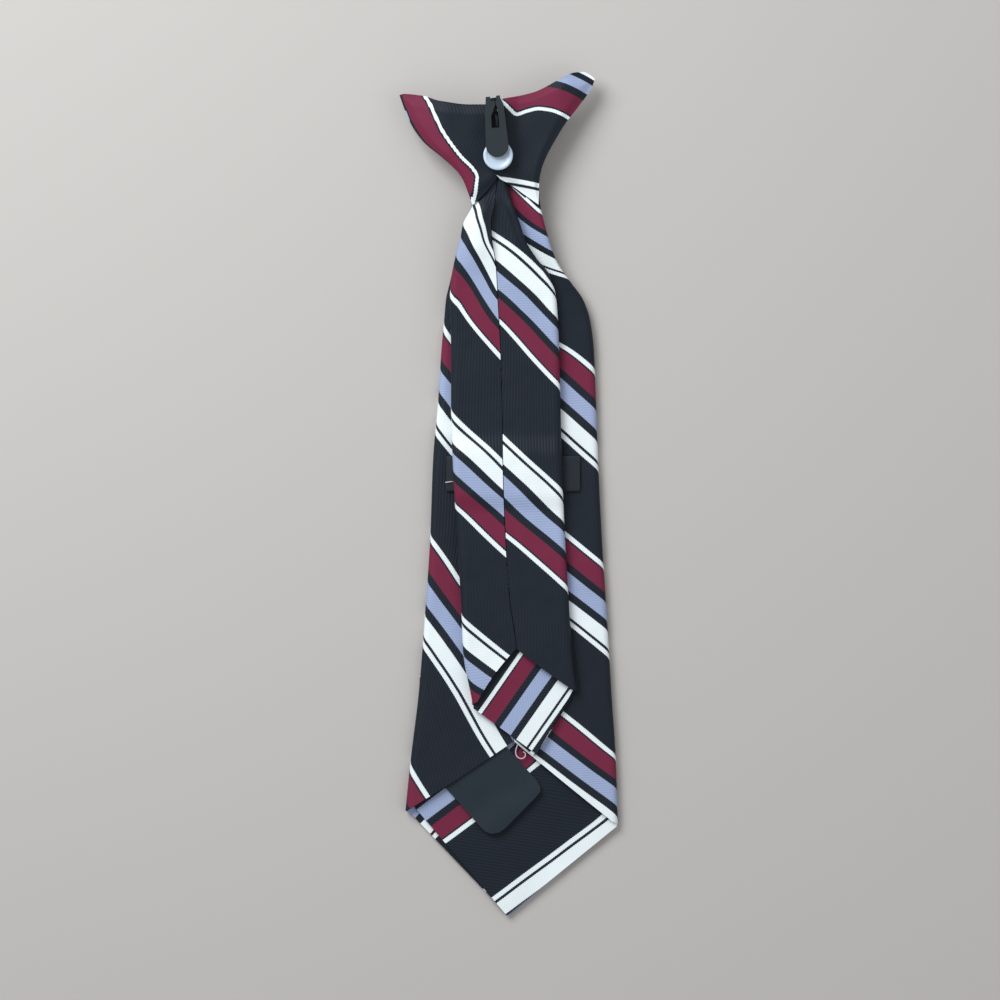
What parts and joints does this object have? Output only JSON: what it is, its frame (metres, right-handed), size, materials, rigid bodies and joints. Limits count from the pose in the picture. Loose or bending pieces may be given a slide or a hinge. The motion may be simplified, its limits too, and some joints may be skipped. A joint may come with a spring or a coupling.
{
  "type": "child's clip-on necktie",
  "caption": "Short necktie lying face down, with a wide and a narrow folded blade, a pre-tied knot with flared ends and a collar clip with a sprung tongue.",
  "frame": {"origin": "middle of the tie's outline, on the surface that it lies on", "axes": "+Y along the tie towards the knot, +Z out of its back, +X to the right seen from the back"},
  "size_m": [0.0724, 0.281, 0.017],
  "materials": {
    "striped_cloth": "diagonal twill, striped black, maroon, lavender and white",
    "striped_facing": "the same striped twill, facing the inside",
    "black_cloth": "plain black band",
    "label_satin": "black satin, bare",
    "clip_black": "black, satin",
    "pin_steel": "plain",
    "pad_white": "milky, smooth"
  },
  "bodies": {
    "tie": {"front_blade": "striped_cloth", "front_tipping": "striped_facing", "tail_blade": "striped_cloth", "tail_tipping": "striped_facing", "knot_band": "striped_cloth", "left_wing": "striped_cloth", "right_wing": "striped_cloth", "keeper_loop": "black_cloth", "care_label": "label_satin", "clip_base": "clip_black", "clip_pin": "pin_steel", "clip_pad": "pad_white"},
    "lever": {"clip_lever": "clip_black"}
  },
  "joints": [
    {"name": "clip_hinge", "type": "hinge", "parent": "tie", "child": "lever", "pos_m": [-0.00477, 0.12723, 0.015], "axis": [-0.9958, -0.0912, 0], "range_deg": [0, 18], "stiffness_Nm_per_rad": 0.05, "springref_deg": -11.46}
  ]
}
